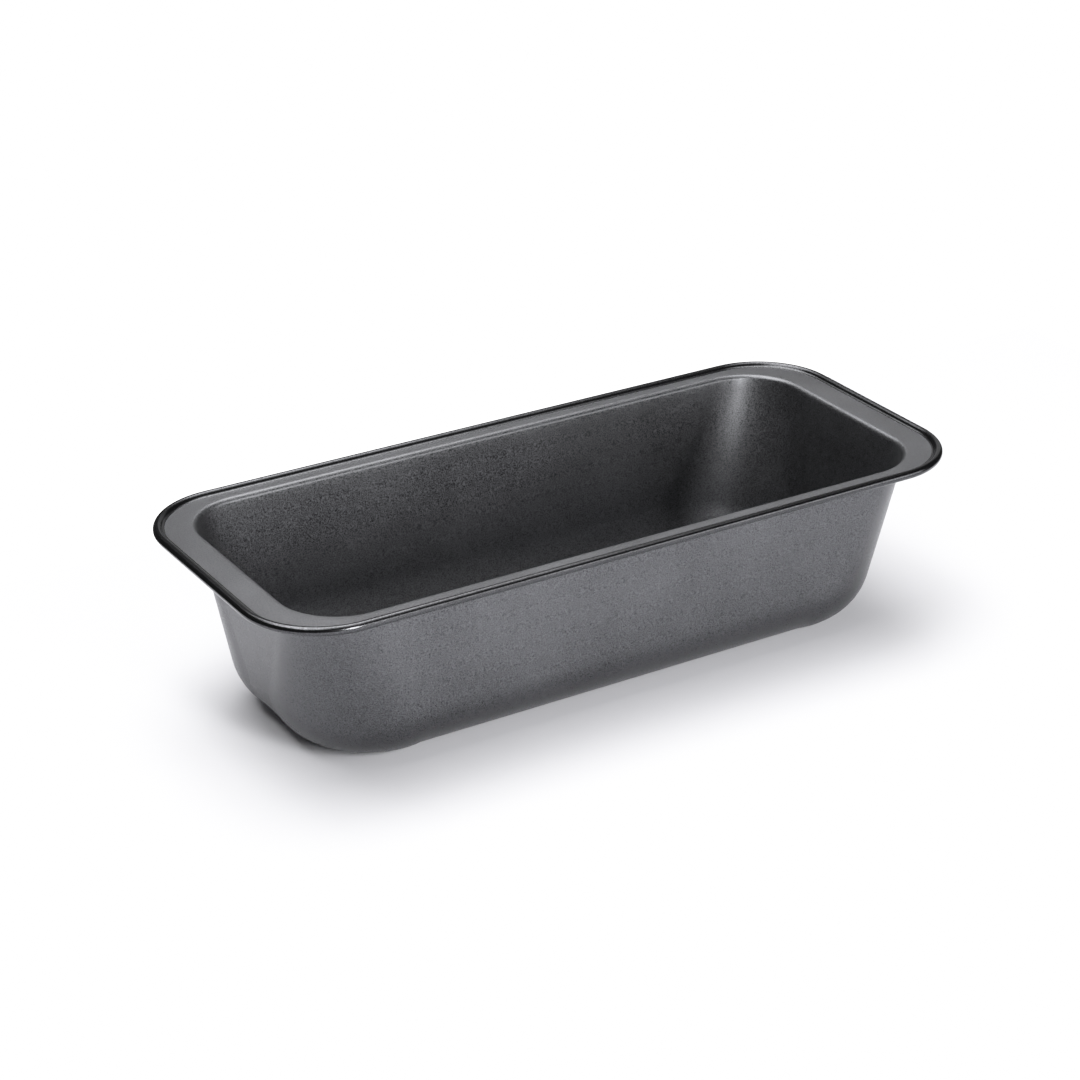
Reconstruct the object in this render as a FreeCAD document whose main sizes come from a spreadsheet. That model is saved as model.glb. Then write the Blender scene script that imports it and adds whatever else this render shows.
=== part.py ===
"""Loaf pan: one drawn steel sheet, curled at its rim around a steel wire.

Frame: millimetres, +Z up. The origin is the middle of the underside, at the level that the pan
stands on. X runs along the pan and Y across it.
"""
import FreeCAD, Part
import math
import os

import Sketcher

# Driving dimensions: name, value in millimetres or degrees, meaning.
DRIVING_DIMENSIONS = [
    ("rim_length", 300.0, "overall length, outside the curl"),
    ("rim_width", 130.0, "overall width, outside the curl"),
    ("rim_corner", 32.0, "corner radius outside the curl"),
    ("rim_height", 72.0, "overall height, to the top of the curl"),
    ("gauge", 0.5, "thickness of the steel sheet"),
    ("wire_diameter", 2.2, "rim wire"),
    ("wire_clearance", 0.1, "gap all round between the rim wire and the curl"),
    ("wire_butt_gap", 0.6, "gap between the two cut ends of the rim wire"),
    ("curl_stand", 1.5, "how far the curl stands above the flange"),
    ("curl_foot_radius", 1.5, "hollow where the flange turns up into the curl"),
    ("curl_tuck", 20.0, "how far below the level of the wire the cut edge stops, in degrees"),
    ("end_flange", 15.5, "from the outside of the curl to the wall's outer skin, at each end"),
    ("side_flange", 9.6, "from the outside of the curl to the wall's outer skin, along each side"),
    ("mouth_corner", 23.3, "corner radius of the wall's outer skin at the mouth"),
    ("lip_radius", 2.0, "upper skin where the wall turns out into the flange"),
    ("end_taper", 7.5, "how far each end wall leans in from mouth to base"),
    ("side_taper", 4.9, "how far each side wall leans in from mouth to base"),
    ("base_end_straight", 17.0, "straight stretch across each end of the base outline"),
    ("base_fillet", 24.0, "outer skin where the walls turn into the base"),
]

# Sizes that follow from the driving ones.
CURL_RADIUS = "(dims.wire_diameter / 2 + dims.wire_clearance + dims.gauge)"
CURL_BORE = "(dims.wire_diameter / 2 + dims.wire_clearance)"
WIRE_LEVEL = f"(dims.rim_height - {CURL_RADIUS})"
FLANGE_TOP = "(dims.rim_height - dims.curl_stand)"
FOOT_LEVEL = f"({FLANGE_TOP} + dims.curl_foot_radius)"
FOOT_REACH = (
    f"sqrt(({CURL_RADIUS} + dims.curl_foot_radius) ^ 2 - ({FOOT_LEVEL} - {WIRE_LEVEL}) ^ 2)"
)
FLANGE_INSET = f"({CURL_RADIUS} + {FOOT_REACH})"
MOUTH_LENGTH = "(dims.rim_length - 2 * dims.end_flange)"
MOUTH_WIDTH = "(dims.rim_width - 2 * dims.side_flange)"
BASE_LENGTH = f"({MOUTH_LENGTH} - 2 * dims.end_taper)"
BASE_WIDTH = f"({MOUTH_WIDTH} - 2 * dims.side_taper)"
BASE_CORNER = f"(({BASE_WIDTH} - dims.base_end_straight) / 2)"

# Where a sketch's geometry starts before its dimensions pull it into place.
ROUGH_HALF_LENGTH, ROUGH_HALF_WIDTH, ROUGH_CORNER = 100.0, 50.0, 20.0
QUARTER_TURN = math.pi / 2
TOUCHING = 1e-4
UP = FreeCAD.Vector(0, 0, 1)


def make_dimension_sheet(document):
    """Put the driving dimensions in a spreadsheet, one aliased cell each."""
    cells = document.addObject("Spreadsheet::Sheet", "dims")
    for row, (name, value, meaning) in enumerate(DRIVING_DIMENSIONS, start=1):
        cells.set(f"A{row}", name)
        cells.set(f"B{row}", str(value))
        cells.setAlias(f"B{row}", name)
        cells.set(f"C{row}", meaning)
    document.recompute()
    return cells


def new_body(document, label):
    """Start an empty body."""
    body = document.addObject("PartDesign::Body", label)
    body.Label = label
    return body


def new_sketch(body, name, role, level=None):
    """Start a sketch on one of the body's origin planes, raised to level where that is given."""
    plane = next(plane for plane in body.Origin.OriginFeatures if plane.Role == role)
    sketch = body.newObject("Sketcher::SketchObject", name)
    sketch.AttachmentSupport = [(plane, "")]
    sketch.MapMode = "FlatFace"
    if level:
        sketch.setExpression("AttachmentOffset.Base.z", level)
    return sketch


def drive(sketch, name, formula, kind, *references):
    """Add a dimension to a sketch and bind it to a formula."""
    index = sketch.addConstraint(Sketcher.Constraint(kind, *references))
    sketch.renameConstraint(index, name)
    sketch.setExpression(f"Constraints.{name}", formula)


def draw_rounded_rectangle(sketch, length, width, corner):
    """Draw a rounded rectangle about the origin, anticlockwise from its front side."""
    across, along, radius = ROUGH_HALF_WIDTH, ROUGH_HALF_LENGTH, ROUGH_CORNER
    inner_x, inner_y = along - radius, across - radius
    corners = [(inner_x, -inner_y), (inner_x, inner_y), (-inner_x, inner_y), (-inner_x, -inner_y)]
    starts = [(-inner_x, -across), (along, -inner_y), (inner_x, across), (-along, inner_y)]
    ends = [(inner_x, -across), (along, inner_y), (-inner_x, across), (-along, -inner_y)]
    for side, ((x0, y0), (x1, y1), (cx, cy)) in enumerate(zip(starts, ends, corners)):
        sketch.addGeometry(Part.LineSegment(FreeCAD.Vector(x0, y0, 0), FreeCAD.Vector(x1, y1, 0)))
        circle = Part.Circle(FreeCAD.Vector(cx, cy, 0), UP, radius)
        sketch.addGeometry(Part.ArcOfCircle(circle, (side - 1) * QUARTER_TURN, side * QUARTER_TURN))
    for line in (0, 2, 4, 6):
        arc, next_line = line + 1, (line + 2) % 8
        sketch.addConstraint(Sketcher.Constraint("Tangent", line, 2, arc, 1))
        sketch.addConstraint(Sketcher.Constraint("Tangent", arc, 2, next_line, 1))
        sketch.addConstraint(Sketcher.Constraint("Vertical" if line % 4 else "Horizontal", line))
    for arc in (3, 5, 7):
        sketch.addConstraint(Sketcher.Constraint("Equal", 1, arc))
    sketch.addConstraint(Sketcher.Constraint("Symmetric", 1, 3, 5, 3, -1, 1))
    drive(sketch, "length", length, "DistanceX", 6, 1, 2, 1, 2 * along)
    drive(sketch, "width", width, "DistanceY", 0, 1, 4, 1, 2 * across)
    drive(sketch, "corner", corner, "Radius", 1, radius)


def edges_at(shape, level, reach=None):
    """Name the edges that lie flat at a level, within a half-length and half-width if given."""
    names = []
    for number, edge in enumerate(shape.Edges, start=1):
        box = edge.BoundBox
        flat = abs(box.ZMin - level) < TOUCHING and abs(box.ZMax - level) < TOUCHING
        far_x, far_y = max(-box.XMin, box.XMax), max(-box.YMin, box.YMax)
        if flat and (reach is None or (far_x < reach[0] and far_y < reach[1])):
            names.append(f"Edge{number}")
    return names


def round_edges(document, body, name, edges, radius):
    """Round the named edges of the body's last feature."""
    base = body.Tip
    fillet = body.newObject("PartDesign::Fillet", f"{body.Label}_{name}")
    fillet.Base = (base, edges)
    fillet.setExpression("Radius", radius)
    document.recompute()


def add_wall_form(document, body, depth):
    """Add the solid inside the walls and base, with its faces depth inside the outer skin."""
    lean = f"{depth} / {FLANGE_TOP}"
    mouth = new_sketch(body, f"{body.Label}_mouth_outline", "XY_Plane", FLANGE_TOP)
    draw_rounded_rectangle(
        mouth,
        f"{MOUTH_LENGTH} - 2 * {depth}",
        f"{MOUTH_WIDTH} - 2 * {depth}",
        f"dims.mouth_corner - {depth}",
    )
    base = new_sketch(body, f"{body.Label}_base_outline", "XY_Plane", depth)
    draw_rounded_rectangle(
        base,
        f"{BASE_LENGTH} + 2 * dims.end_taper * {lean} - 2 * {depth}",
        f"{BASE_WIDTH} + 2 * dims.side_taper * {lean} - 2 * {depth}",
        f"{BASE_CORNER} + (dims.mouth_corner - {BASE_CORNER}) * {lean} - {depth}",
    )
    walls = body.newObject("PartDesign::AdditiveLoft", f"{body.Label}_walls")
    walls.Profile = mouth
    walls.Sections = [(base, [""])]
    walls.Ruled = True
    document.recompute()
    base_edges = edges_at(walls.Shape, walls.Shape.BoundBox.ZMin)
    round_edges(document, body, "base_rounding", base_edges, f"dims.base_fillet - {depth}")


def draw_curl_section(sketch, cells):
    """Draw the curled edge across the sheet: hollow foot, roll round the wire, cut edge."""
    bore = cells.wire_diameter / 2 + cells.wire_clearance
    roll = bore + cells.gauge
    wire = FreeCAD.Vector(cells.rim_width / 2 - roll, cells.rim_height - roll, 0)
    foot_y = cells.rim_height - cells.curl_stand + cells.curl_foot_radius
    reach = ((roll + cells.curl_foot_radius) ** 2 - (foot_y - wire.y) ** 2) ** 0.5
    foot = FreeCAD.Vector(wire.x - reach, foot_y, 0)
    down = math.radians(-90)
    turn = math.atan2(wire.y - foot.y, wire.x - foot.x)
    cut = math.radians(180 + cells.curl_tuck)

    def arc(centre, radius, start, end):
        return sketch.addGeometry(Part.ArcOfCircle(Part.Circle(centre, UP, radius), start, end))

    def at(centre, radius, angle):
        return centre + FreeCAD.Vector(radius * math.cos(angle), radius * math.sin(angle), 0)

    foot_upper = arc(foot, cells.curl_foot_radius, down, turn)
    roll_outer = arc(wire, roll, cut, turn + 3 * math.pi)
    cut_edge = sketch.addGeometry(Part.LineSegment(at(wire, roll, cut), at(wire, bore, cut)))
    roll_inner = arc(wire, bore, cut, turn + 3 * math.pi)
    foot_lower = arc(foot, cells.curl_foot_radius + cells.gauge, down, turn)
    seam = sketch.addGeometry(
        Part.LineSegment(
            at(foot, cells.curl_foot_radius + cells.gauge, down),
            at(foot, cells.curl_foot_radius, down),
        )
    )
    for kind, *references in (
        ("Tangent", foot_upper, 2, roll_outer, 2),
        ("Coincident", roll_outer, 1, cut_edge, 1),
        ("Coincident", cut_edge, 2, roll_inner, 1),
        ("Tangent", roll_inner, 2, foot_lower, 2),
        ("Coincident", foot_lower, 1, seam, 1),
        ("Coincident", seam, 2, foot_upper, 1),
        ("Coincident", roll_outer, 3, roll_inner, 3),
        ("Coincident", foot_upper, 3, foot_lower, 3),
        ("PointOnObject", roll_outer, 3, cut_edge),
        ("PointOnObject", foot_upper, 3, seam),
        ("Vertical", seam),
    ):
        sketch.addConstraint(Sketcher.Constraint(kind, *references))
    drive(sketch, "wire_across", f"dims.rim_width / 2 - {CURL_RADIUS}",
          "DistanceX", -1, 1, roll_outer, 3, wire.x)
    drive(sketch, "wire_level", WIRE_LEVEL, "DistanceY", -1, 1, roll_outer, 3, wire.y)
    drive(sketch, "roll", CURL_RADIUS, "Radius", roll_outer, roll)
    drive(sketch, "bore", CURL_BORE, "Radius", roll_inner, bore)
    drive(sketch, "foot", "dims.curl_foot_radius", "Radius", foot_upper, cells.curl_foot_radius)
    drive(sketch, "flange_top", FLANGE_TOP, "DistanceY", -1, 1, foot_upper, 1,
          foot_y - cells.curl_foot_radius)
    drive(sketch, "tuck", "180 - dims.curl_tuck", "Angle", cut_edge, math.pi - cut)


def draw_rim_outline(sketch, inset):
    """Draw the rim's outline, inset from the outside of the curl."""
    draw_rounded_rectangle(
        sketch,
        f"dims.rim_length - 2 * {inset}",
        f"dims.rim_width - 2 * {inset}",
        f"dims.rim_corner - {inset}",
    )


def sweep_round_rim(document, body, name, section):
    """Carry a section round the rim, along the line that the middle of the wire follows."""
    path = new_sketch(body, f"{name}_path", "XY_Plane", WIRE_LEVEL)
    draw_rim_outline(path, CURL_RADIUS)
    pipe = body.newObject("PartDesign::AdditivePipe", name)
    pipe.Profile = section
    pipe.Spine = (path, [f"Edge{number}" for number in range(1, 9)])
    document.recompute()


def make_pan_shell(document, cells):
    """Make the sheet: base, walls, lip, flange and curl, all in one piece."""
    cavity = new_body(document, "cavity")
    add_wall_form(document, cavity, "dims.gauge")

    body = new_body(document, "pan_shell")
    add_wall_form(document, body, "0")

    flange_outline = new_sketch(body, "flange_outline", "XY_Plane", FLANGE_TOP)
    draw_rim_outline(flange_outline, FLANGE_INSET)
    flange = body.newObject("PartDesign::Pad", "flange")
    flange.Profile = flange_outline
    flange.Reversed = True
    flange.setExpression("Length", "dims.gauge")
    document.recompute()

    flange_top = cells.rim_height - cells.curl_stand
    reach = (
        cells.rim_length / 2 - cells.end_flange + TOUCHING,
        cells.rim_width / 2 - cells.side_flange + TOUCHING,
    )
    under_lip = edges_at(body.Shape, flange_top - cells.gauge, reach)
    round_edges(document, body, "lip_underside", under_lip, "dims.lip_radius - dims.gauge")

    hollow = body.newObject("PartDesign::Boolean", "hollow")
    hollow.Type = "Cut"
    hollow.setObjects([cavity])
    document.recompute()
    round_edges(document, body, "lip", edges_at(body.Shape, flange_top, reach), "dims.lip_radius")

    curl_section = new_sketch(body, "curl_section", "YZ_Plane")
    draw_curl_section(curl_section, cells)
    sweep_round_rim(document, body, "curl", curl_section)
    return body


def make_rim_wire(document, cells):
    """Make the wire inside the curl: one length bent round the rim, its ends butted at the back."""
    body = new_body(document, "rim_wire")
    section = new_sketch(body, "wire_section", "YZ_Plane")
    draw_wire_circle(section, cells, "dims.wire_diameter / 2")
    sweep_round_rim(document, body, "wire", section)

    butt = new_sketch(body, "butt_section", "YZ_Plane")
    draw_wire_circle(butt, cells, CURL_BORE)
    gap = body.newObject("PartDesign::Pocket", "butt_gap")
    gap.Profile = butt
    gap.Midplane = True
    gap.setExpression("Length", "dims.wire_butt_gap")
    document.recompute()
    return body


def draw_wire_circle(sketch, cells, radius):
    """Draw a circle about the middle of the wire."""
    roll = cells.wire_diameter / 2 + cells.wire_clearance + cells.gauge
    middle = FreeCAD.Vector(cells.rim_width / 2 - roll, cells.rim_height - roll, 0)
    circle = sketch.addGeometry(Part.Circle(middle, UP, cells.wire_diameter / 2))
    drive(sketch, "across", f"dims.rim_width / 2 - {CURL_RADIUS}",
          "DistanceX", -1, 1, circle, 3, middle.x)
    drive(sketch, "level", WIRE_LEVEL, "DistanceY", -1, 1, circle, 3, middle.y)
    drive(sketch, "radius", radius, "Radius", circle, cells.wire_diameter / 2)


def check_objects(document, sub_parts):
    """Stop if any object failed to build, or a sub-part isn't one valid solid."""
    for item in document.Objects:
        if "Invalid" in item.State or "Error" in item.State:
            raise RuntimeError(f"{item.Label} failed: {item.getStatusString()}")
    for part in sub_parts:
        shape = part.Shape
        if shape.isNull() or not shape.isValid() or len(shape.Solids) != 1:
            raise RuntimeError(f"{part.Label} isn't one valid solid")


def main():
    """Build both sub-parts, check them and write one STEP file for each."""
    document = FreeCAD.newDocument("loaf_pan")
    cells = make_dimension_sheet(document)
    sub_parts = [make_pan_shell(document, cells), make_rim_wire(document, cells)]
    document.recompute()
    check_objects(document, sub_parts)
    os.makedirs("parts", exist_ok=True)
    for part in sub_parts:
        part.Shape.exportStep(f"parts/{part.Label}.step")
        box = part.Shape.BoundBox
        print(f"{part.Label}: {part.Shape.Volume:.0f} mm3, "
              f"{box.XLength:.2f} x {box.YLength:.2f} x {box.ZLength:.2f} mm")


main()
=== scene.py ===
"""The looks of a loaf pan: coated sheet with a curled rim, the wire in the curl, and the studio.

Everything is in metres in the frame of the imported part: X along the pan, Y across it, Z up, and
the origin in the middle of the underside.
"""
from __future__ import annotations

import logging
import math
from dataclasses import dataclass, fields
from enum import Enum
from typing import Any, Sequence, Union

import bpy
from mathutils import Matrix, Vector

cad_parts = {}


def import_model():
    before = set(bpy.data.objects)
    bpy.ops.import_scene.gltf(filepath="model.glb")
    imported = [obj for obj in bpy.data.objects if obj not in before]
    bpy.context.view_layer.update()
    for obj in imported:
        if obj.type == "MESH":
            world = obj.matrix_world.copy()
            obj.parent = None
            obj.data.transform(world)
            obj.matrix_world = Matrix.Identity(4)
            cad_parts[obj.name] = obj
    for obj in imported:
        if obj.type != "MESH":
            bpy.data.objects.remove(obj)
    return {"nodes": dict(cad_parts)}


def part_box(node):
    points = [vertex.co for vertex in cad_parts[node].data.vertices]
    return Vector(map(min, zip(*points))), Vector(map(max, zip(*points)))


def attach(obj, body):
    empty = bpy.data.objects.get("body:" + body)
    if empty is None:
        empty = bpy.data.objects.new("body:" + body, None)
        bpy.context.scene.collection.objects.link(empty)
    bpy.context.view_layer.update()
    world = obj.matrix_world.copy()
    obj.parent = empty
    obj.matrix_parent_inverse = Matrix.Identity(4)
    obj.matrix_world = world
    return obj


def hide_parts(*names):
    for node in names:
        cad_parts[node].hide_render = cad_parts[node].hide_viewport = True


LOG = logging.getLogger("loaf_pan")
MM = 0.001
QUARTER_TURN = math.pi / 2
JUST_OVER = 1e-3
ALONG_WIRE = "along_wire"
ABOUT_WIRE = "about_wire"
ZONES = "zones"


class Slot(Enum):
    """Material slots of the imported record."""

    COATED_STEEL = "coated_steel"
    RIM_WIRE = "rim_wire"


class Field:
    """One number socket of a node tree, with the arithmetic that the trees are written in."""

    def __init__(self, graph: "Graph", socket: bpy.types.NodeSocket) -> None:
        """Wrap a socket.

        Args:
            graph: The graph that the socket belongs to.
            socket: An output socket that gives one number.
        """
        self.graph = graph
        self.socket = socket

    def __add__(self, other: "Number") -> "Field":
        """Return self + other."""
        return self.graph.math("ADD", self, other)

    def __radd__(self, other: float) -> "Field":
        """Return other + self."""
        return self.graph.math("ADD", other, self)

    def __sub__(self, other: "Number") -> "Field":
        """Return self - other."""
        return self.graph.math("SUBTRACT", self, other)

    def __rsub__(self, other: float) -> "Field":
        """Return other - self."""
        return self.graph.math("SUBTRACT", other, self)

    def __mul__(self, other: "Number") -> "Field":
        """Return self * other."""
        return self.graph.math("MULTIPLY", self, other)

    def __rmul__(self, other: float) -> "Field":
        """Return other * self."""
        return self.graph.math("MULTIPLY", other, self)

    def __truediv__(self, other: "Number") -> "Field":
        """Return self / other."""
        return self.graph.math("DIVIDE", self, other)

    def __neg__(self) -> "Field":
        """Return -self."""
        return self.graph.math("MULTIPLY", self, -1.0)

    def cos(self) -> "Field":
        """Return the cosine."""
        return self.graph.math("COSINE", self)

    def sin(self) -> "Field":
        """Return the sine."""
        return self.graph.math("SINE", self)

    def sqrt(self) -> "Field":
        """Return the square root."""
        return self.graph.math("SQRT", self)

    def over(self, limit: "Number") -> "Field":
        """Return 1 where self is greater than limit, and 0 elsewhere."""
        return self.graph.math("GREATER_THAN", self, limit)

    def least(self, other: "Number") -> "Field":
        """Return the smaller of self and other."""
        return self.graph.math("MINIMUM", self, other)

    def share(self, start: "Number", span: "Number") -> "Field":
        """Return how far self has come from start along span, held between 0 and 1."""
        return self.graph.math("DIVIDE", self - start, span, clamp=True)

    def towards(self, other: "Number", share: "Number") -> "Field":
        """Return the number that lies a share of the way from self to other."""
        return self + (other - self) * share


Number = Union[Field, float]


class Graph:
    """Builds the nodes of one tree, for a shape, a finish or the surroundings."""

    def __init__(self, tree: bpy.types.NodeTree) -> None:
        """Start on a tree.

        Args:
            tree: An empty geometry or shader tree.
        """
        self.tree = tree

    def node(
        self,
        kind: str,
        settings: dict[str, Any] | None = None,
        values: dict[Any, Any] | None = None,
    ) -> bpy.types.Node:
        """Add a node.

        Args:
            kind: The node's type.
            settings: Its settings, which are made before its sockets are fed.
            values: What its input sockets get, by name or number: a number, colour, vector,
                socket or Field.

        Returns:
            The new node.
        """
        node = self.tree.nodes.new(kind)
        for name, value in (settings or {}).items():
            setattr(node, name, value)
        for name, value in (values or {}).items():
            self.feed(node.inputs[name], value)
        return node

    def feed(self, socket: bpy.types.NodeSocket, value: Any) -> None:
        """Link an input socket to a source, or set its own value.

        Args:
            socket: The input socket.
            value: A Field or an output socket to link, or a plain value to set. A colour may be
                given as red, green and blue.
        """
        if isinstance(value, Field):
            self.tree.links.new(value.socket, socket)
        elif isinstance(value, bpy.types.NodeSocket):
            self.tree.links.new(value, socket)
        elif socket.type == "RGBA":
            socket.default_value = (*value[:3], 1.0)
        else:
            socket.default_value = value

    def math(self, operation: str, *values: Number, clamp: bool = False) -> Field:
        """Add a Math node.

        Args:
            operation: The node's operation.
            values: Its operands.
            clamp: Whether the result is held between 0 and 1.

        Returns:
            The result.
        """
        settings = {"operation": operation, "use_clamp": clamp}
        node = self.node("ShaderNodeMath", settings, dict(enumerate(values)))
        return Field(self, node.outputs[0])

    def parts(self, vector: bpy.types.NodeSocket) -> tuple[Field, Field, Field]:
        """Split a vector socket into its three numbers."""
        node = self.node("ShaderNodeSeparateXYZ", values={0: vector})
        return tuple(Field(self, socket) for socket in node.outputs)

    def vector(self, x: Number, y: Number, z: Number) -> bpy.types.NodeSocket:
        """Join three numbers into a vector socket."""
        return self.node("ShaderNodeCombineXYZ", values={0: x, 1: y, 2: z}).outputs[0]

    def noise(self, place: bpy.types.NodeSocket, scale: float, detail: float) -> Field:
        """Add a Noise Texture.

        Args:
            place: Where it is read.
            scale: Its scale.
            detail: Its detail.

        Returns:
            The noise, about 0.5 in the middle.
        """
        values = {"Vector": place, "Scale": scale, "Detail": detail}
        return Field(self, self.node("ShaderNodeTexNoise", values=values).outputs[0])

    def mix_colour(self, share: Number, first: Any, second: Any) -> bpy.types.NodeSocket:
        """Mix two colours.

        Args:
            share: How much of the second colour there is.
            first: The colour at 0.
            second: The colour at 1.

        Returns:
            The mixed colour's socket.
        """
        settings = {"data_type": "RGBA"}
        node = self.node("ShaderNodeMix", settings, {0: share, 6: first, 7: second})
        return node.outputs[2]


@dataclass(frozen=True)
class PanSizes:
    """The pan's sizes. Angles are in radians."""

    rim_length: float
    rim_width: float
    rim_height: float
    rim_corner: float = 32.0 * MM
    gauge: float = 0.5 * MM
    wire_radius: float = 1.1 * MM
    wire_clearance: float = 0.1 * MM
    wire_butt_gap: float = 0.6 * MM
    curl_stand: float = 1.5 * MM
    curl_foot_radius: float = 1.5 * MM
    curl_tuck: float = math.radians(20.0)
    end_flange: float = 15.5 * MM
    side_flange: float = 9.6 * MM
    mouth_corner: float = 23.3 * MM
    lip_radius: float = 2.0 * MM
    end_taper: float = 7.5 * MM
    side_taper: float = 4.9 * MM
    base_end_straight: float = 17.0 * MM
    base_fillet: float = 24.0 * MM

    @classmethod
    def from_frame(cls, node: str) -> "PanSizes":
        """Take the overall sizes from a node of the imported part.

        Args:
            node: The node of the sheet.

        Returns:
            The pan's sizes.
        """
        low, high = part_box(node)
        length, width, height = high - low
        return cls(rim_length=length, rim_width=width, rim_height=height)


@dataclass(frozen=True)
class SheetMesh:
    """How many steps the sheet's mesh takes along each stretch of its outline and section."""

    side: int = 48
    end: int = 20
    corner: int = 20
    floor: int = 8
    base_rounding: int = 18
    wall: int = 14
    lip: int = 8
    flange: int = 4
    foot: int = 7
    curl: int = 30


@dataclass(frozen=True)
class Outline:
    """A rounded rectangle: the middle of its first corner, and its corners' radius."""

    centre_x: Number
    centre_y: Number
    radius: Number


@dataclass(frozen=True)
class Stretch:
    """A stretch of the way round: its length, and what it adds to the shares and the turn."""

    span: Number
    across_x: float = 0.0
    across_y: float = 0.0
    quarter_turns: float = 0.0


@dataclass(frozen=True)
class Station:
    """A place on the way round the pan, the same for each outline that the sheet passes.

    The shares run from -1 to 1 between the middles of the corners, and facing_x and facing_y
    are the outward direction.
    """

    share_x: Field
    share_y: Field
    facing_x: Field
    facing_y: Field

    @classmethod
    def on_way(cls, way: Field, stretches: Sequence[Stretch], share_x: float, share_y: float,
               angle: float) -> "Station":
        """Find the station at a point on the way round, anticlockwise.

        Args:
            way: How far round the point is, in the units of the stretches' spans.
            stretches: The straight stretches and corners, in order.
            share_x: Where the way starts along the pan.
            share_y: Where the way starts across the pan.
            angle: The outward direction at the start.

        Returns:
            The station.
        """
        done: Number = 0.0
        for stretch in stretches:
            part = way.share(done, stretch.span)
            done = done + stretch.span
            if stretch.across_x:
                share_x = share_x + part * stretch.across_x
            if stretch.across_y:
                share_y = share_y + part * stretch.across_y
            if stretch.quarter_turns:
                angle = angle + part * (stretch.quarter_turns * QUARTER_TURN)
        return cls(share_x, share_y, angle.cos(), angle.sin())

    def on(self, outline: Outline) -> tuple[Field, Field]:
        """Return the station's point on an outline."""
        return (
            outline.centre_x * self.share_x + outline.radius * self.facing_x,
            outline.centre_y * self.share_y + outline.radius * self.facing_y,
        )


@dataclass(frozen=True)
class Point:
    """A point of the sheet, as one number each way."""

    x: Field
    y: Field
    z: Number

    def towards(self, other: "Point", share: Number) -> "Point":
        """Return the point that lies a share of the way to other."""
        return Point(*(
            one.towards(two, share) if isinstance(one, Field) else one + (two - one) * share
            for one, two in zip((self.x, self.y, self.z), (other.x, other.y, other.z))
        ))


class Shape:
    """A piece whose mesh a geometry tree makes from named sizes."""

    name = "shape"

    def __init__(self, sizes: PanSizes) -> None:
        """Keep the sizes.

        Args:
            sizes: The pan's sizes.
        """
        self.sizes = sizes
        self.tree = bpy.data.node_groups.new(f"{self.name}_shape", "GeometryNodeTree")
        self.tree.is_modifier = True
        self.graph = Graph(self.tree)

    def open_tree(self) -> dict[str, Field]:
        """Give the tree its named inputs.

        Returns:
            A Field for each of the pan's sizes, by name.
        """
        interface = self.tree.interface
        interface.new_socket(name="Geometry", in_out="OUTPUT", socket_type="NodeSocketGeometry")
        interface.new_socket(name="Finish", in_out="INPUT", socket_type="NodeSocketMaterial")
        for size in fields(self.sizes):
            label = size.name.replace("_", " ").capitalize()
            interface.new_socket(name=label, in_out="INPUT", socket_type="NodeSocketFloat")
        entry = self.graph.node("NodeGroupInput")
        return {
            size.name: Field(self.graph, entry.outputs[number])
            for number, size in enumerate(fields(self.sizes), start=1)
        }

    def close_tree(self, geometry: bpy.types.NodeSocket) -> None:
        """Realise the geometry, give it its finish and send it out.

        Args:
            geometry: The finished shape.
        """
        entry = next(node for node in self.tree.nodes if node.type == "GROUP_INPUT")
        real = self.graph.node("GeometryNodeRealizeInstances", values={"Geometry": geometry})
        dressed = self.graph.node(
            "GeometryNodeSetMaterial",
            values={"Geometry": real.outputs[0], "Material": entry.outputs["Finish"]},
        )
        self.graph.node("NodeGroupOutput", values={0: dressed.outputs[0]})

    def keep(self, geometry: bpy.types.NodeSocket, name: str,
             value: bpy.types.NodeSocket) -> bpy.types.NodeSocket:
        """Keep a vector on each point, for the piece's finish to read.

        Args:
            geometry: The mesh or curve.
            name: The attribute's name.
            value: The vector.

        Returns:
            The geometry with the attribute.
        """
        store = self.graph.node("GeometryNodeStoreNamedAttribute", {"data_type": "FLOAT_VECTOR"},
                                {"Geometry": geometry, "Name": name, "Value": value})
        return store.outputs[0]

    def grow(self) -> None:
        """Write the tree's nodes. Each shape has its own."""
        raise NotImplementedError

    def make(self, finish: bpy.types.Material, sharp_angle: float) -> bpy.types.Object:
        """Run the tree and keep its result as a plain mesh.

        Args:
            finish: The piece's material.
            sharp_angle: Edges that turn by more than this stay sharp.

        Returns:
            The finished object, at the origin.
        """
        self.grow()
        piece = bpy.data.objects.new(self.name, bpy.data.meshes.new(self.name))
        bpy.context.scene.collection.objects.link(piece)
        modifier = piece.modifiers.new(self.name, "NODES")
        modifier.node_group = self.tree
        inputs = [item for item in self.tree.interface.items_tree if item.in_out == "INPUT"]
        modifier[inputs[0].identifier] = finish
        for item, size in zip(inputs[1:], fields(self.sizes)):
            modifier[item.identifier] = getattr(self.sizes, size.name)
        graph = bpy.context.evaluated_depsgraph_get()
        mesh = bpy.data.meshes.new_from_object(piece.evaluated_get(graph))
        piece.modifiers.clear()
        piece.data = mesh
        mesh.name = self.name
        mesh.materials.clear()
        mesh.materials.append(finish)
        mesh.shade_smooth()
        mesh.set_sharp_from_angle(angle=sharp_angle)
        return piece


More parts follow.
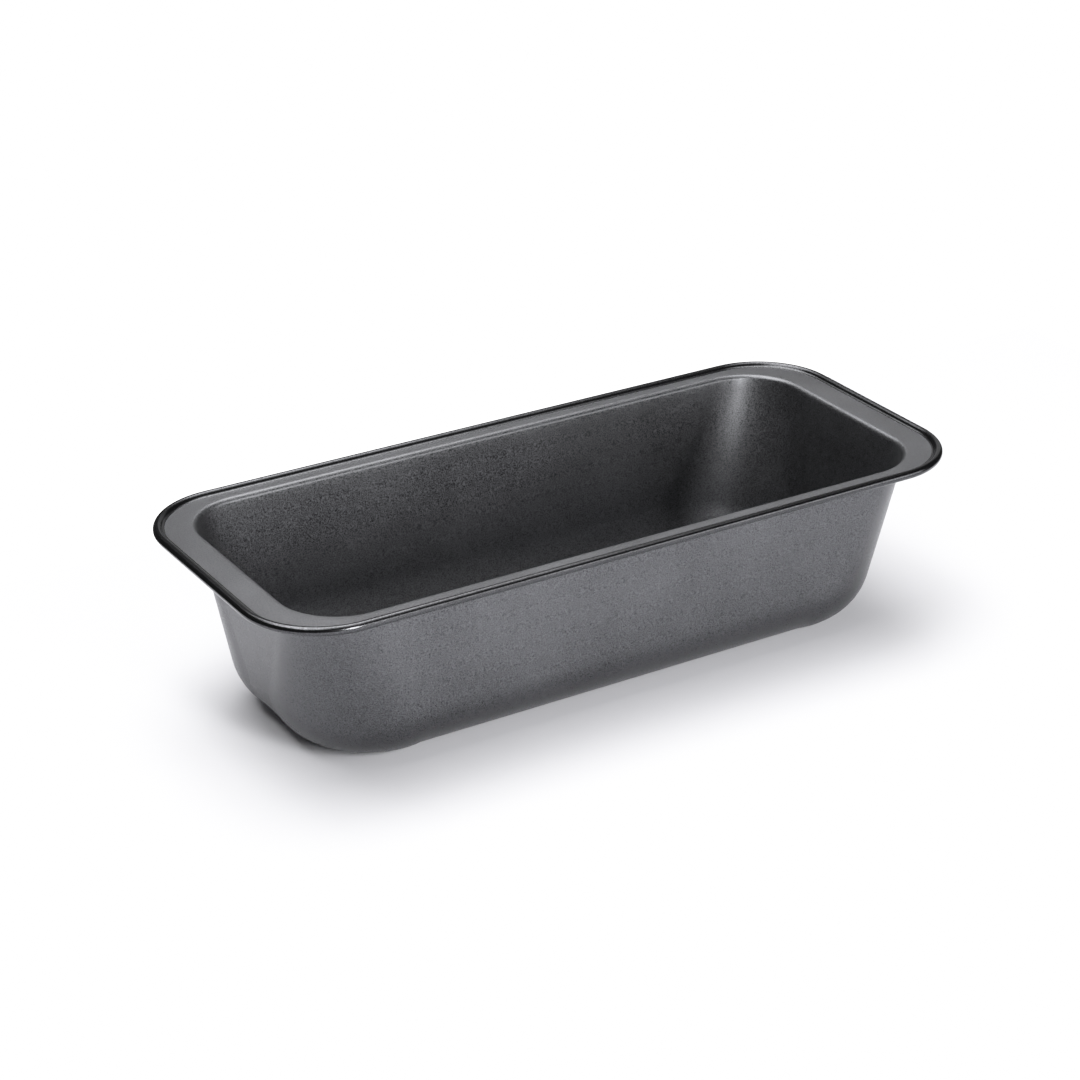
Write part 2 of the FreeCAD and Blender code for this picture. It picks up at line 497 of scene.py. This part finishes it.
class PanSheet(Shape):
    """The drawn sheet: base, walls, lip, flange and curl, with a lower and an upper skin."""

    name = "pan_sheet"
    steps = SheetMesh()
    weld = 0.002 * MM

    def grow(self) -> None:
        """Lay a grid round the pan and through the sheet's section, and close it into a shell."""
        steps = self.steps
        stretches = (
            Stretch(steps.side, across_x=2), Stretch(steps.corner, quarter_turns=1),
            Stretch(steps.end, across_y=2), Stretch(steps.corner, quarter_turns=1),
            Stretch(steps.side, across_x=-2), Stretch(steps.corner, quarter_turns=1),
            Stretch(steps.end, across_y=-2), Stretch(steps.corner, quarter_turns=1),
        )
        stations = sum(stretch.span for stretch in stretches)
        section = (steps.floor, steps.base_rounding, steps.wall, steps.lip, steps.flange,
                   steps.foot, steps.curl)
        last = sum(section)
        size = self.open_tree()
        grid = self.graph.node("GeometryNodeMeshGrid", values={
            "Size X": 1.0, "Size Y": 1.0,
            "Vertices X": stations + 1, "Vertices Y": 2 * last + 2,
        })
        place = self.graph.node("GeometryNodeInputPosition").outputs[0]
        along, through, _ = self.graph.parts(place)
        station = Station.on_way((along + 0.5) * stations, stretches, -1.0, -1.0, -QUARTER_TURN)
        row = (through + 0.5) * (2 * last + 1)
        upper = row.over(last + 0.5)
        step = row.least(2 * last + 1 - row)
        point = self.section_point(size, station, section, step, upper)
        rolled = step.over(last - steps.foot - steps.curl + JUST_OVER)
        # The zones mark the curl, whose colour the finish paints darker as painted shade and makes
        # smoother, and the upper skin, whose colour it paints lighter as painted light and makes
        # rougher.
        marked = self.keep(grid.outputs[0], ZONES, self.graph.vector(rolled, upper, 0.0))
        moved = self.graph.node("GeometryNodeSetPosition", values={
            "Geometry": marked, "Position": self.graph.vector(point.x, point.y, point.z),
        })
        closed = self.graph.node("GeometryNodeMergeByDistance", values={
            "Geometry": moved.outputs[0], "Distance": self.weld,
        })
        self.close_tree(closed.outputs[0])

    def section_point(self, size: dict[str, Field], station: Station, section: Sequence[int],
                      step: Field, upper: Field) -> Point:
        """Find a point of the sheet's section.

        Args:
            size: The pan's sizes.
            station: Where round the pan the section stands.
            section: The steps of each stretch of the section, from the floor to the curl.
            step: The point's step along the section.
            upper: 1 on the upper skin, 0 on the lower one.

        Returns:
            The point.
        """
        depth = size["gauge"] * upper
        roll = size["wire_radius"] + size["wire_clearance"] + size["gauge"]
        flange_top = size["rim_height"] - size["curl_stand"]
        base, mouth, wire = self.outlines(size, roll)
        (base_x, base_y), (mouth_x, mouth_y) = station.on(base), station.on(mouth)
        wire_x, wire_y = station.on(wire)
        lean_in = ((mouth_x - base_x) * station.facing_x + (mouth_y - base_y) * station.facing_y)
        lean = self.graph.math("ARCTAN2", lean_in, flange_top)

        def at(x: Field, y: Field, out: Number, level: Number) -> Point:
            """Return the point that lies outward from x, y at a level."""
            return Point(x + station.facing_x * out, y + station.facing_y * out, level)

        shares, done = [], 0
        for steps in section:
            shares.append(step.share(done, steps))
            done += steps
        floor, rounding, wall, lip, flange, foot, curl = shares

        fillet = size["base_fillet"]
        fillet_out = fillet * (lean.sin() - 1.0) / lean.cos()
        turn = rounding * (QUARTER_TURN - lean) - QUARTER_TURN
        bend = fillet - depth
        rounded = at(base_x, base_y, fillet_out + bend * turn.cos(), fillet + bend * turn.sin())

        spine = (size["rim_length"] - size["rim_width"]) * 0.5
        middle = Point(spine * station.share_x, 0.0 * station.share_y, depth)
        flat = middle.towards(at(base_x, base_y, fillet_out, depth), floor)

        lip_bend = size["lip_radius"] - size["gauge"]
        lip_level = flange_top - size["lip_radius"]
        lip_out = (lip_bend + lip_level * lean.sin()) / lean.cos() - lean_in
        turn = (2.0 * QUARTER_TURN - lean) - lip * (QUARTER_TURN - lean)
        bend = lip_bend + depth
        lipped = at(mouth_x, mouth_y, lip_out + bend * turn.cos(), lip_level + bend * turn.sin())

        foot_bend = size["curl_foot_radius"] + size["gauge"] - depth
        wire_level = size["rim_height"] - roll
        foot_rise = flange_top + size["curl_foot_radius"] - wire_level
        spacing = roll + size["curl_foot_radius"]
        reach = (spacing * spacing - foot_rise * foot_rise).sqrt()
        climb = self.graph.math("ARCTAN2", -foot_rise, reach)
        turn = foot * (climb + QUARTER_TURN) - QUARTER_TURN
        footed = at(wire_x, wire_y, foot_bend * turn.cos() - reach,
                    wire_level + foot_rise + foot_bend * turn.sin())

        curl_start = climb + 2.0 * QUARTER_TURN
        curl_end = size["curl_tuck"] - 2.0 * QUARTER_TURN
        turn = curl_start.towards(curl_end, curl)
        bend = roll - size["gauge"] + depth
        curled = at(wire_x, wire_y, bend * turn.cos(), wire_level + bend * turn.sin())

        level = flange_top - size["gauge"] + depth
        flanged = at(mouth_x, mouth_y, lip_out, level).towards(
            at(wire_x, wire_y, -reach, level), flange)
        wall_foot = at(base_x, base_y, fillet_out + (fillet - depth) * lean.cos(),
                       fillet - (fillet - depth) * lean.sin())
        wall_top = at(mouth_x, mouth_y, lip_out - (lip_bend + depth) * lean.cos(),
                      lip_level + (lip_bend + depth) * lean.sin())
        walled = wall_foot.towards(wall_top, wall)

        point, done = flat, 0
        for steps, piece in zip(section, (rounded, walled, lipped, flanged, footed, curled)):
            done += steps
            point = point.towards(piece, step.over(done + JUST_OVER))
        return point

    def outlines(self, size: dict[str, Field], roll: Field) -> tuple[Outline, Outline, Outline]:
        """Work out the outlines that the sheet passes.

        Args:
            size: The pan's sizes.
            roll: The curl's outer radius.

        Returns:
            The base's and the mouth's outline on the lower skin, and the wire's.
        """
        mouth_x = size["rim_length"] * 0.5 - size["end_flange"]
        mouth_y = size["rim_width"] * 0.5 - size["side_flange"]
        base_x, base_y = mouth_x - size["end_taper"], mouth_y - size["side_taper"]
        base_corner = base_y - size["base_end_straight"] * 0.5
        mouth_corner, rim_corner = size["mouth_corner"], size["rim_corner"]
        base = Outline(base_x - base_corner, base_y - base_corner, base_corner)
        mouth = Outline(mouth_x - mouth_corner, mouth_y - mouth_corner, mouth_corner)
        wire = Outline(size["rim_length"] * 0.5 - rim_corner, size["rim_width"] * 0.5 - rim_corner,
                       rim_corner - roll)
        return base, mouth, wire


class RimWire(Shape):
    """The wire in the curl: one length that goes round the rim, its ends butted at the back."""

    name = "rim_wire_bent"
    steps_round = 420
    steps_about = 24

    def grow(self) -> None:
        """Bend a line round the rim and give it the wire's thickness."""
        size = self.open_tree()
        roll = size["wire_radius"] + size["wire_clearance"] + size["gauge"]
        corner = size["rim_corner"] - roll
        middle_x = size["rim_length"] * 0.5 - size["rim_corner"]
        middle_y = size["rim_width"] * 0.5 - size["rim_corner"]
        quarter = corner * QUARTER_TURN
        turn = Stretch(quarter, quarter_turns=1)
        stretches = (
            Stretch(middle_x, across_x=-1), turn, Stretch(middle_y * 2.0, across_y=-2), turn,
            Stretch(middle_x * 2.0, across_x=2), turn, Stretch(middle_y * 2.0, across_y=2), turn,
            Stretch(middle_x, across_x=-1),
        )
        length = middle_x * 4.0 + middle_y * 4.0 + quarter * 4.0
        line = self.graph.node("GeometryNodeCurvePrimitiveLine", values={"End": (1.0, 0.0, 0.0)})
        fine = self.graph.node("GeometryNodeResampleCurve", values={
            "Curve": line.outputs[0], "Count": self.steps_round,
        })
        share = Field(self.graph, self.graph.node("GeometryNodeSplineParameter").outputs["Factor"])
        gap = size["wire_butt_gap"]
        way = gap * 0.5 + share * (length - gap)
        station = Station.on_way(way, stretches, 0.0, 1.0, QUARTER_TURN)
        x, y = station.on(Outline(middle_x, middle_y, corner))
        path = self.graph.node("GeometryNodeSetPosition", values={
            "Geometry": fine.outputs[0],
            "Position": self.graph.vector(x, y, size["rim_height"] - roll),
        })
        ring = self.graph.node("GeometryNodeCurvePrimitiveCircle", values={
            "Resolution": self.steps_about, "Radius": size["wire_radius"],
        })
        wire = self.graph.node("GeometryNodeCurveToMesh", values={
            "Curve": self.keep(path.outputs[0], ALONG_WIRE, self.graph.vector(0.0, 0.0, way)),
            "Profile Curve": self.keep(ring.outputs[0], ABOUT_WIRE,
                                       self.graph.node("GeometryNodeInputPosition").outputs[0]),
            "Fill Caps": True,
        })
        self.close_tree(wire.outputs[0])


class Finish:
    """A material written as a node tree, with one Principled BSDF at its end."""

    name = "finish"

    def start(self) -> tuple[bpy.types.Material, Graph]:
        """Make an empty material.

        Returns:
            The material, and the graph that its nodes go in.
        """
        material = bpy.data.materials.new(self.name)
        material.use_nodes = True
        material.node_tree.nodes.clear()
        return material, Graph(material.node_tree)

    def close(self, graph: Graph, values: dict[str, Any]) -> None:
        """Add the shader and the output.

        Args:
            graph: The material's graph.
            values: What the shader's sockets get, by name.
        """
        shader = graph.node("ShaderNodeBsdfPrincipled", values=values)
        graph.node("ShaderNodeOutputMaterial", values={"Surface": shader.outputs[0]})


@dataclass(frozen=True)
class NonStickCoating(Finish):
    """Dark grey baked-on coating with a fine metallic grain, sprayed, so faintly orange-peeled.

    The painted light inside, the painted shade on the curl and the tones are shares of the ground
    colour.
    """

    name = "non_stick_coating"
    ground: tuple[float, float, float] = (0.091, 0.092, 0.0965)
    # Painted light: the inside's colour is this share of the ground colour, lighter than the
    # outside.
    inside_painted_light: float = 1.45
    # Painted shade: the curl's colour is this share of the ground colour, darker than the rest.
    rolled_painted_shade: float = 0.65
    smooth: float = 0.23
    inside_rougher: float = 0.07
    rolled_smooth: float = 0.22
    flake_spread: float = 0.28
    flake_size: float = 0.5 * MM
    flake_contrast: float = 3.2
    peel_spacing: float = 1.1 * MM
    peel_depth: float = 0.008 * MM
    cloud_size: float = 30.0 * MM
    run_width: float = 1.3 * MM
    run_length: float = 30.0 * MM
    cloud_tone: float = 0.3
    run_tone: float = 0.12
    flake_tone: float = 0.5
    cloud_rough: float = 0.08
    darkest: float = 0.3
    lightest: float = 1.7

    def build(self) -> bpy.types.Material:
        """Write the coating's material.

        The flakes scatter light widely. The inside is rougher, and its colour is painted lighter,
        as painted light. Where the sheet is rolled, the colour is painted darker, as painted
        shade, and the coating is smoother there.

        Returns:
            The material.
        """
        material, graph = self.start()
        place = graph.node("ShaderNodeTexCoord").outputs["Object"]
        cloud = graph.noise(place, 1.0 / self.cloud_size, detail=3.0)
        peel = graph.noise(place, 1.0 / self.peel_spacing, detail=2.0)
        grain = graph.noise(place, 1.0 / self.flake_size, detail=3.0)
        stretched = graph.node("ShaderNodeMapping", values={
            "Vector": place,
            "Scale": (1.0 / self.run_width, 1.0 / self.run_width, 1.0 / self.run_length),
        })
        runs = graph.noise(stretched.outputs[0], 1.0, detail=2.0)
        mark = graph.node("ShaderNodeAttribute", {"attribute_name": ZONES}).outputs["Vector"]
        rolled, inside, _ = graph.parts(mark)
        flakes = (grain - 0.5) * self.flake_contrast
        shade = ((cloud - 0.5) * self.cloud_tone + (runs - 0.5) * self.run_tone
                 + flakes * self.flake_tone + 0.5)
        colour = graph.mix_colour(shade.share(0.0, 1.0), self.tone(self.darkest),
                                  self.tone(self.lightest))
        # Painted light and painted shade: the inside's colour is made lighter and the curl's
        # darker.
        level = (inside * (self.inside_painted_light - 1.0) + 1.0).towards(self.rolled_painted_shade, rolled)
        painted_light_and_shade_colour = graph.node("ShaderNodeVectorMath", {"operation": "SCALE"},
                            {0: colour, "Scale": level})
        bump = graph.node("ShaderNodeBump", values={
            "Strength": 1.0, "Distance": self.peel_depth, "Height": peel,
        })
        rough = ((cloud - 0.5) * self.cloud_rough
                 + (flakes + 0.5).share(0.0, 1.0) * self.flake_spread
                 + inside * self.inside_rougher + self.smooth)
        self.close(graph, {
            "Base Color": painted_light_and_shade_colour.outputs[0],
            "Metallic": 1.0,
            "Roughness": rough.towards(self.rolled_smooth, rolled),
            "Normal": bump.outputs[0],
        })
        return material

    def tone(self, share: float) -> tuple[float, ...]:
        """Return the ground colour, darker or lighter by a share."""
        return tuple(share * part for part in self.ground)


@dataclass(frozen=True)
class DrawnSteel(Finish):
    """Plain drawn steel, with the die's lines along the wire."""

    name = "drawn_steel"
    bright: tuple[float, float, float] = (0.50, 0.50, 0.51)
    dull: tuple[float, float, float] = (0.33, 0.33, 0.33)
    line_width: float = 0.12 * MM
    line_length: float = 8.0 * MM
    line_depth: float = 0.005 * MM
    smooth: float = 0.22
    line_rough: float = 0.2

    def build(self) -> bpy.types.Material:
        """Write the wire's material.

        Returns:
            The material.
        """
        material, graph = self.start()
        along = graph.node("ShaderNodeAttribute", {"attribute_name": ALONG_WIRE}).outputs["Vector"]
        about = graph.node("ShaderNodeAttribute", {"attribute_name": ABOUT_WIRE}).outputs["Vector"]
        across_x, across_y, _ = graph.parts(about)
        _, _, length = graph.parts(along)
        drawn = graph.vector(across_x / self.line_width, across_y / self.line_width,
                             length / self.line_length)
        lines = graph.noise(drawn, 1.0, detail=3.0)
        bump = graph.node("ShaderNodeBump", values={
            "Strength": 1.0, "Distance": self.line_depth, "Height": lines,
        })
        self.close(graph, {
            "Base Color": graph.mix_colour(lines, self.dull, self.bright),
            "Metallic": 1.0,
            "Roughness": self.smooth + lines * self.line_rough,
            "Normal": bump.outputs[0],
        })
        return material


@dataclass(frozen=True)
class Camera:
    """The camera, given by where it looks from. Angles are in degrees."""

    azimuth: float = -31.323
    elevation: float = 25.479
    roll: float = -0.395
    distance: float = 1.0902
    lens: float = 94.37
    sensor: float = 36.0
    target: tuple[float, float, float] = (-0.00372, 0.00782, 0.04496)

    def build(self) -> bpy.types.Object:
        """Make the camera and set it as the scene's.

        Returns:
            The camera.
        """
        turn, rise, tilt = (
            math.radians(angle) for angle in (self.azimuth, self.elevation, self.roll)
        )
        back = Vector((math.sin(turn) * math.cos(rise), -math.cos(turn) * math.cos(rise),
                       math.sin(rise)))
        right = Vector((math.cos(turn), math.sin(turn), 0.0))
        up = back.cross(right)
        across = right * math.cos(tilt) + up * math.sin(tilt)
        upward = up * math.cos(tilt) - right * math.sin(tilt)
        data = bpy.data.cameras.new("camera")
        data.lens = self.lens
        data.sensor_width = self.sensor
        camera = bpy.data.objects.new("camera", data)
        camera.matrix_world = Matrix((
            (across.x, upward.x, back.x, self.target[0] + back.x * self.distance),
            (across.y, upward.y, back.y, self.target[1] + back.y * self.distance),
            (across.z, upward.z, back.z, self.target[2] + back.z * self.distance),
            (0.0, 0.0, 0.0, 1.0),
        ))
        bpy.context.scene.collection.objects.link(camera)
        bpy.context.scene.camera = camera
        return camera


@dataclass(frozen=True)
class SoftBox:
    """A rectangular light that faces the pan. Its angles are in degrees, azimuth 0 in front."""

    name: str
    azimuth: float
    elevation: float
    distance: float
    width: float
    height: float
    radiance: float

    def build(self) -> bpy.types.Object:
        """Hang the light.

        Returns:
            The light.
        """
        turn, rise = math.radians(self.azimuth), math.radians(self.elevation)
        way = Vector((math.sin(turn) * math.cos(rise), -math.cos(turn) * math.cos(rise),
                      math.sin(rise)))
        data = bpy.data.lights.new(self.name, "AREA")
        data.shape = "RECTANGLE"
        data.size = self.width
        data.size_y = self.height
        data.energy = self.radiance * math.pi * self.width * self.height
        light = bpy.data.objects.new(self.name, data)
        light.location = way * self.distance
        light.rotation_euler = way.to_track_quat("Z", "Y").to_euler()
        light.visible_camera = False
        bpy.context.scene.collection.objects.link(light)
        return light


@dataclass(frozen=True)
class Exposure:
    """A straight response up to the knee, and a soft shoulder from there to white."""

    knee: float = 0.3
    white: float = 1.6
    steps: int = 8

    def response(self, light: float) -> float:
        """Return how bright an amount of light comes out, from 0 to 1."""
        if light <= self.knee:
            return light
        power = (self.white - self.knee) / (1.0 - self.knee)
        left = 1.0 - (light - self.knee) / (self.white - self.knee)
        return 1.0 - (1.0 - self.knee) * left ** power

    def apply(self) -> None:
        """Set the scene's view to this response."""
        view = bpy.context.scene.view_settings
        view.view_transform = "Standard"
        view.use_curve_mapping = True
        mapping = view.curve_mapping
        mapping.extend = "HORIZONTAL"
        mapping.white_level = (self.white,) * 3
        curve = mapping.curves[3]
        for step in range(self.steps):
            light = self.knee + (self.white - self.knee) * step / self.steps
            curve.points.new(light / self.white, self.response(light))
        mapping.update()


@dataclass(frozen=True)
class Studio:
    """A pale table, the white paper round it, dim surroundings, and soft lights.

    The paper is bright only to the camera. The table is what the pan mirrors and is lit by.
    """

    table_low: tuple[float, float] = (-0.36, -0.60)
    table_high: tuple[float, float] = (0.38, 0.17)
    table_drop: float = 0.05 * MM
    table_colour: tuple[float, float, float] = (0.850, 0.850, 0.882)
    table_rough: float = 0.8
    table_sheen: float = 0.2
    paper_reach: float = 6.0
    paper_drop: float = 0.5 * MM
    white: float = 2.0
    dim: float = 0.08
    exposure: Exposure = Exposure()
    lights: tuple[SoftBox, ...] = (
        SoftBox("overhead", 195.0, 75.0, 1.5, 1.6, 1.0, 3.8),
        SoftBox("back", 170.0, 60.0, 1.5, 1.2, 0.8, 3.6),
        SoftBox("left", 270.0, 70.0, 1.5, 1.0, 0.8, 4.6),
        SoftBox("right", 90.0, 75.0, 1.5, 1.0, 0.8, 1.9),
        SoftBox("front", -6.0, 24.5, 0.52, 0.11, 0.19, 31.0),
        SoftBox("front_right", 35.0, 14.0, 0.9, 0.7, 0.35, 4.2),
        SoftBox("behind_right", 135.0, 22.0, 1.5, 1.0, 0.6, 0.5),
    )

    def build(self) -> None:
        """Lay the table and paper, light the surroundings, hang the lights, set the exposure."""
        self.lay_table()
        self.lay_paper()
        self.light_surroundings()
        for light in self.lights:
            light.build()
        self.exposure.apply()

    def lay(self, name: str, low: tuple[float, float], high: tuple[float, float], drop: float,
            values: dict[str, Any]) -> bpy.types.Object:
        """Lay a flat rectangle under the pan, as part of the stage.

        Args:
            name: Its name.
            low: Its corner nearest the front left.
            high: Its opposite corner.
            drop: How far it lies under the pan's base.
            values: What its shader's sockets get.

        Returns:
            The rectangle.
        """
        mesh = bpy.data.meshes.new(name)
        corners = [(low[0], low[1], -drop), (high[0], low[1], -drop),
                   (high[0], high[1], -drop), (low[0], high[1], -drop)]
        mesh.from_pydata(corners, [], [(0, 1, 2, 3)])
        material = bpy.data.materials.new(name)
        material.use_nodes = True
        material.node_tree.nodes.clear()
        graph = Graph(material.node_tree)
        shader = graph.node("ShaderNodeBsdfPrincipled", values=values)
        graph.node("ShaderNodeOutputMaterial", values={"Surface": shader.outputs[0]})
        mesh.materials.append(material)
        piece = bpy.data.objects.new(name, mesh)
        bpy.context.scene.collection.objects.link(piece)
        return piece

    def lay_table(self) -> None:
        """Lay the table that the pan stands on."""
        self.lay("table", self.table_low, self.table_high, self.table_drop, {
            "Base Color": self.table_colour, "Roughness": self.table_rough,
            "Specular IOR Level": self.table_sheen,
        })

    def lay_paper(self) -> None:
        """Lay the white paper that runs out of sight."""
        reach = self.paper_reach
        paper = self.lay("paper", (-reach, -reach), (reach, reach), self.paper_drop, {
            "Base Color": (0.0, 0.0, 0.0), "Emission Color": (1.0, 1.0, 1.0),
            "Emission Strength": self.white,
        })
        paper.visible_diffuse = False
        paper.visible_glossy = False

    def light_surroundings(self) -> None:
        """Make the backdrop white, and what lights the pan and is mirrored in it dim."""
        world = bpy.data.worlds.new("surroundings")
        world.use_nodes = True
        world.node_tree.nodes.clear()
        bpy.context.scene.world = world
        graph = Graph(world.node_tree)
        seen = Field(graph, graph.node("ShaderNodeLightPath").outputs["Is Camera Ray"])
        light = graph.node("ShaderNodeBackground", values={
            "Color": (1.0, 1.0, 1.0), "Strength": seen * (self.white - self.dim) + self.dim,
        })
        graph.node("ShaderNodeOutputWorld", values={"Surface": light.outputs[0]})


@dataclass(frozen=True)
class LoafPan:
    """The pan: its coated sheet, and the wire that its curl is rolled round."""

    sheet_node: str = "pan_shell"
    wire_node: str = "rim_wire"
    sharp_edge: float = math.radians(50.0)

    def build(self) -> None:
        """Make both pieces, tie them to the imported part and hide the nodes that they stand for.
        """
        sizes = PanSizes.from_frame(self.sheet_node)
        sheet = PanSheet(sizes).make(NonStickCoating().build(), self.sharp_edge)
        self.place(sheet, self.sheet_node, Slot.COATED_STEEL)
        wire = RimWire(sizes).make(DrawnSteel().build(), self.sharp_edge)
        self.place(wire, self.wire_node, Slot.RIM_WIRE)

    def place(self, piece: bpy.types.Object, node: str, slot: Slot) -> None:
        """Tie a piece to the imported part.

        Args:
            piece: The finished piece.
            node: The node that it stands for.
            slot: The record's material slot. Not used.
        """
        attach(piece, "root")
        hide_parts(node)
        LOG.info("%s: %d faces, stands for %s", piece.name, len(piece.data.polygons), node)


def main() -> None:
    """Build the scene."""
    logging.basicConfig(level=logging.INFO, format="%(name)s: %(message)s")
    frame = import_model()
    LOG.info("packed nodes: %s", ", ".join(sorted(frame["nodes"])))
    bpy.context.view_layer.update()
    Camera().build()
    Studio().build()
    LoafPan().build()


if __name__ == "__main__":
    main()
